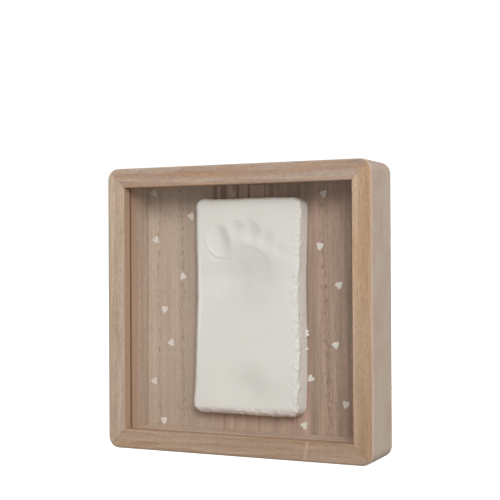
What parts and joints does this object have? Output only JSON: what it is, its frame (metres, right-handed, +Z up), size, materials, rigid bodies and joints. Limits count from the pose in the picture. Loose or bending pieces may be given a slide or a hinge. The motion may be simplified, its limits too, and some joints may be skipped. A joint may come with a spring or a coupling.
{
  "type": "baby footprint box frame",
  "caption": "Deep square wooden box frame that shows a clay slab with a pressed baby footprint, mounted on a backing board printed with hearts, behind a clear pane.",
  "frame": {"origin": "middle of the bottom face that the frame stands on", "axes": "+X right and +Y back, seen from the front, +Z up"},
  "size_m": [0.17, 0.0366, 0.17],
  "materials": {
    "rail_wood": "raw pale brown softwood, sanded, matt",
    "liner_wood": "raw pale brown strip wood, matt",
    "board_veneer": "thin board with open-grained veneer, matt",
    "heart_ink": "off-white printed ink, matt",
    "air_dried_clay": "white air-dried modelling clay, unglazed, matt",
    "clear_acrylic": "clear, polished",
    "foam_tape": "white foam tape",
    "zinc_steel": "zinc-plated steel, satin"
  },
  "bodies": {
    "frame": {"left_rail": "rail_wood", "right_rail": "rail_wood", "top_rail": "rail_wood", "bottom_rail": "rail_wood", "left_liner": "liner_wood", "right_liner": "liner_wood", "top_liner": "liner_wood", "bottom_liner": "liner_wood", "front_pane": "clear_acrylic", "backing_board": "board_veneer", "painted_hearts": "heart_ink", "clay_print": "air_dried_clay", "adhesive_pads": "foam_tape", "corner_v_nails": "zinc_steel", "turn_button_screws": "zinc_steel", "sawtooth_hanger": "zinc_steel", "hanger_nails": "zinc_steel"},
    "upper_left_turn_button": {"upper_left_turn_button": "zinc_steel"},
    "lower_left_turn_button": {"lower_left_turn_button": "zinc_steel"},
    "upper_right_turn_button": {"upper_right_turn_button": "zinc_steel"},
    "lower_right_turn_button": {"lower_right_turn_button": "zinc_steel"}
  },
  "joints": [
    {"name": "upper_left_turn", "type": "hinge", "parent": "frame", "child": "upper_left_turn_button", "pos_m": [-0.0811, 0.0176, 0.13], "axis": [0, 1, 0], "continuous": true},
    {"name": "lower_left_turn", "type": "hinge", "parent": "frame", "child": "lower_left_turn_button", "pos_m": [-0.0811, 0.0176, 0.04], "axis": [0, 1, 0], "continuous": true},
    {"name": "upper_right_turn", "type": "hinge", "parent": "frame", "child": "upper_right_turn_button", "pos_m": [0.0811, 0.0176, 0.13], "axis": [0, 1, 0], "continuous": true},
    {"name": "lower_right_turn", "type": "hinge", "parent": "frame", "child": "lower_right_turn_button", "pos_m": [0.0811, 0.0176, 0.04], "axis": [0, 1, 0], "continuous": true}
  ]
}
